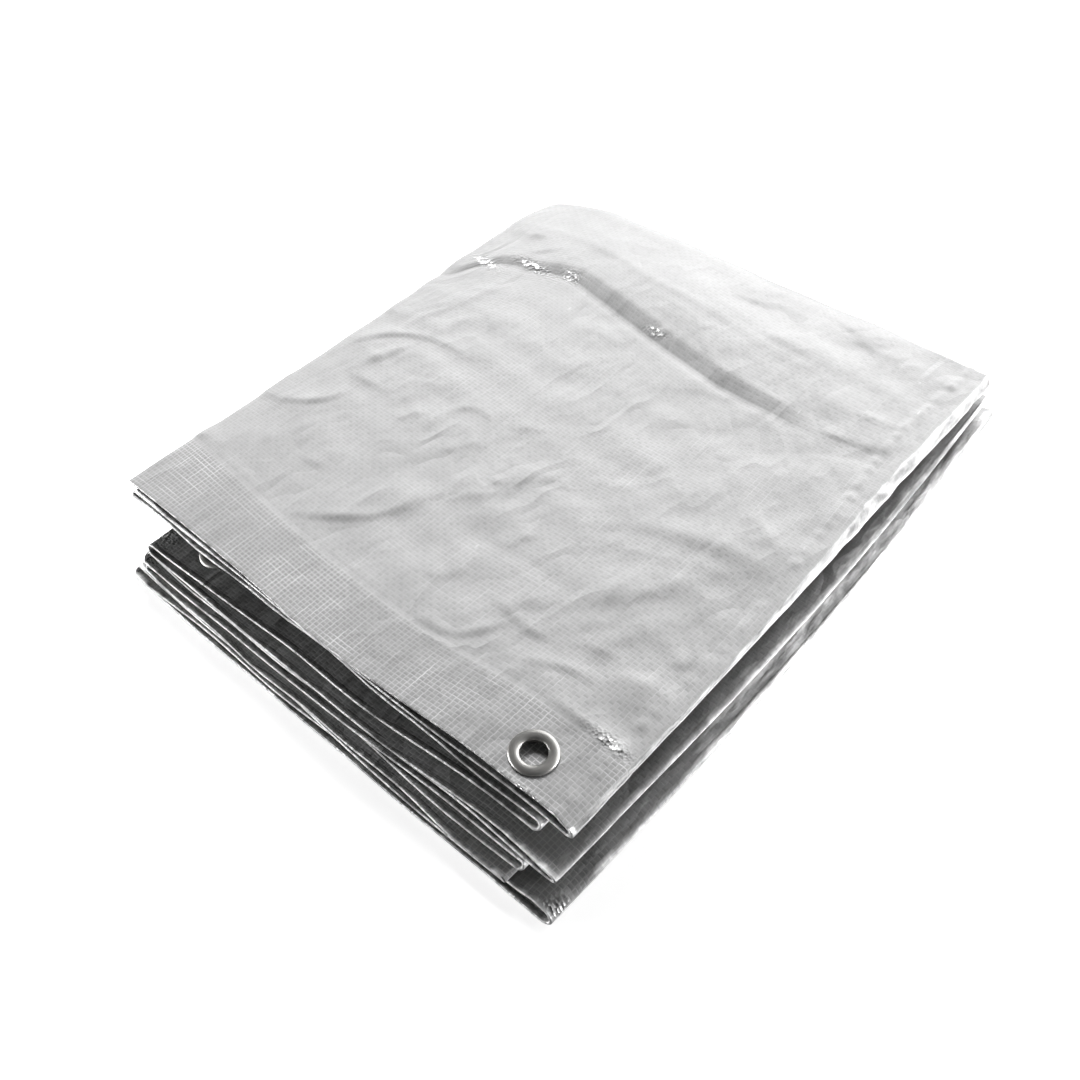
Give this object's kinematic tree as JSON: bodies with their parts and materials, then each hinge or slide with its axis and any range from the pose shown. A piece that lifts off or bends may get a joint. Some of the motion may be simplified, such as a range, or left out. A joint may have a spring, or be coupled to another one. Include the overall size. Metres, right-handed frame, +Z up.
{
  "type": "folded tarpaulin",
  "caption": "Tarpaulin of laminated woven polyethylene, folded back and forth into a flat stack, with hemmed edges to the front and metal eyelets in the hem, for covering things outdoors.",
  "frame": {"origin": "middle of the pack's outline, on the floor", "axes": "+Z up; -Y towards the hemmed edges, which face the front; +X towards the folds on the right; the pack is longest along Y"},
  "size_m": [0.3306, 0.4004, 0.0456],
  "materials": {
    "sheet": "silver-grey laminated woven polyethylene, half gloss",
    "eyelet": "pressed and polished"
  },
  "bodies": {
    "root": {"tarp_sheet": "sheet", "hem_strip_top": "sheet", "hem_strip_lower": "sheet", "eyelet_top": "eyelet", "eyelet_lower": "eyelet"}
  },
  "joints": []
}
